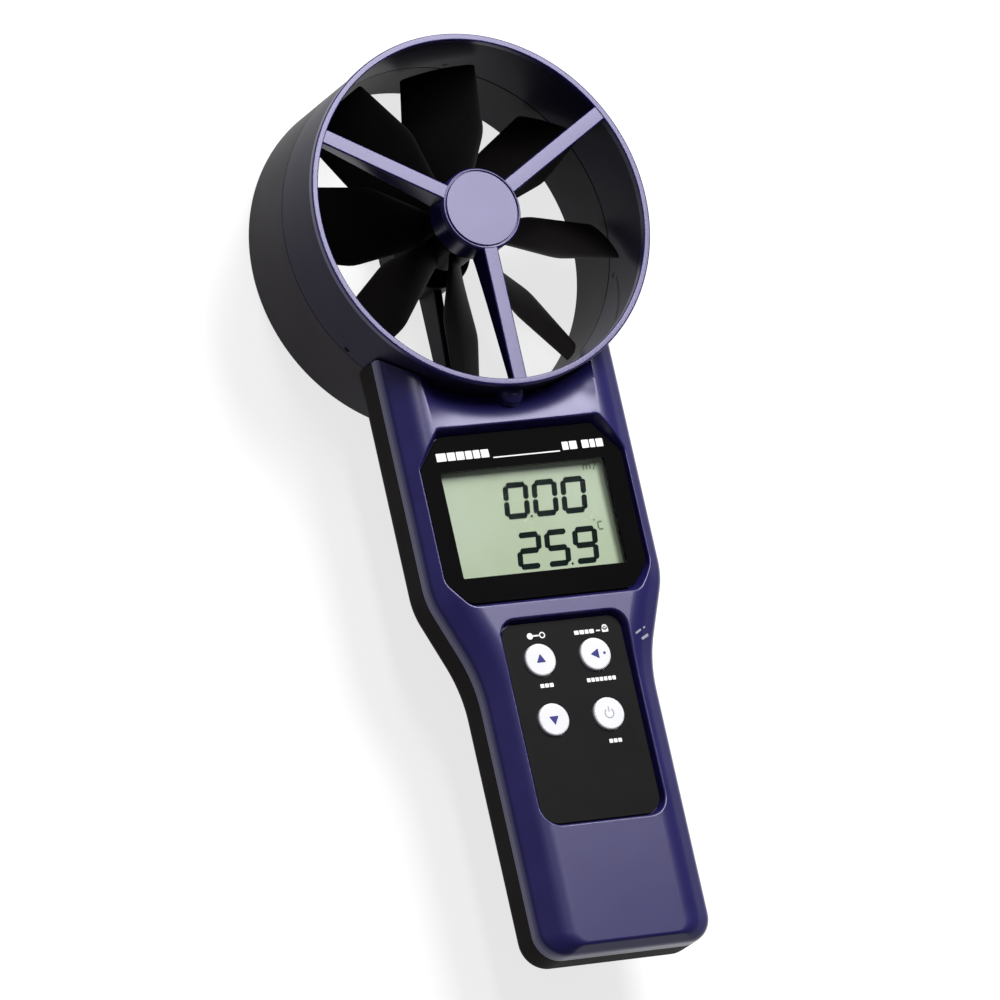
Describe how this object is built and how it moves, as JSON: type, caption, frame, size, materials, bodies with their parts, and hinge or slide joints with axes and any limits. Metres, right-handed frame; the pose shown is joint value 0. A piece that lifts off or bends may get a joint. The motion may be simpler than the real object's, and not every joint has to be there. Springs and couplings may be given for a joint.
{
  "type": "vane anemometer",
  "caption": "Handheld vane anemometer: a wide ring with a free-spinning bladed vane on a slim handle with a display, push keys and a battery door.",
  "frame": {"origin": "under the middle of the instrument's outline, on the plane of the rear rim of the vane ring", "axes": "+Z the way the display faces and along the vane axis, +Y along the handle towards the vane ring, +X to the right of the person reading the display"},
  "size_m": [0.106, 0.2706, 0.047],
  "materials": {
    "navy_housing": "satin moulded plastic with a fine spark-eroded grain",
    "black_housing": "matt moulded plastic",
    "black_vane": "thin matt moulded plastic",
    "display_window": "gloss window, printed black outside the visible area",
    "lcd": "reflective liquid crystal panel, pale green",
    "keypad_film": "satin membrane film",
    "key_white": "smooth white keys with printed symbols",
    "white_plastic": "moulded plastic",
    "black_rubber": "silicone rubber",
    "circuit_board": "glass fibre board with green solder resist",
    "chip_black": "moulded component package",
    "steel": "plated steel",
    "brass": "turned bearing bush",
    "cell_wrap": "wrapped dry cell"
  },
  "bodies": {
    "root": {"battery_1": "cell_wrap", "battery_2": "cell_wrap", "battery_3": "cell_wrap", "battery_4": "cell_wrap", "board_screw_1": "steel", "board_screw_2": "steel", "board_screw_3": "steel", "board_screw_4": "steel", "buzzer": "chip_black", "case_screw_1": "steel", "case_screw_2": "steel", "case_screw_3": "steel", "case_screw_4": "steel", "contact_lower_left": "steel", "contact_lower_right": "steel", "contact_strip": "black_rubber", "contact_upper_left": "steel", "contact_upper_middle": "steel", "contact_upper_right": "steel", "display_window": "display_window", "front_bearing": "brass", "front_hub_cap": "navy_housing", "front_ring": "navy_housing", "front_shell": "navy_housing", "hall_sensor": "chip_black", "key_mat": "black_rubber", "keypad_overlay": "keypad_film", "lcd_holder": "white_plastic", "lcd_panel": "lcd", "lead_socket": "white_plastic", "main_board": "circuit_board", "pickup_board": "circuit_board", "processor_chip": "chip_black", "rear_bearing": "brass", "rear_cover": "black_housing", "rear_hub_cap": "black_housing", "rear_ring": "black_housing", "sensor_lead": "black_rubber", "temperature_probe": "steel"},
    "rotor": {"impeller": "black_vane", "vane_axle": "steel", "magnet_disc": "steel"},
    "battery_door": {"battery_door": "black_housing"},
    "button_up": {"button_up": "key_white"},
    "button_left": {"button_left": "key_white"},
    "button_down": {"button_down": "key_white"},
    "button_power": {"button_power": "key_white"}
  },
  "joints": [
    {"name": "vane_spin", "type": "hinge", "parent": "root", "child": "rotor", "pos_m": [0, 0.08225, 0.0255], "axis": [0, 0, 1], "continuous": true},
    {"name": "press_up", "type": "slide", "parent": "root", "child": "button_up", "axis": [0, 0, -1], "range_m": [0, 0.0006], "stiffness_N_per_m": 900},
    {"name": "press_left", "type": "slide", "parent": "root", "child": "button_left", "axis": [0, 0, -1], "range_m": [0, 0.0006], "stiffness_N_per_m": 900},
    {"name": "press_down", "type": "slide", "parent": "root", "child": "button_down", "axis": [0, 0, -1], "range_m": [0, 0.0006], "stiffness_N_per_m": 900},
    {"name": "press_power", "type": "slide", "parent": "root", "child": "button_power", "axis": [0, 0, -1], "range_m": [0, 0.0006], "stiffness_N_per_m": 900},
    {"name": "door_lift", "type": "slide", "parent": "root", "child": "battery_door", "axis": [0, 0, -1], "range_m": [0, 0.012]}
  ]
}
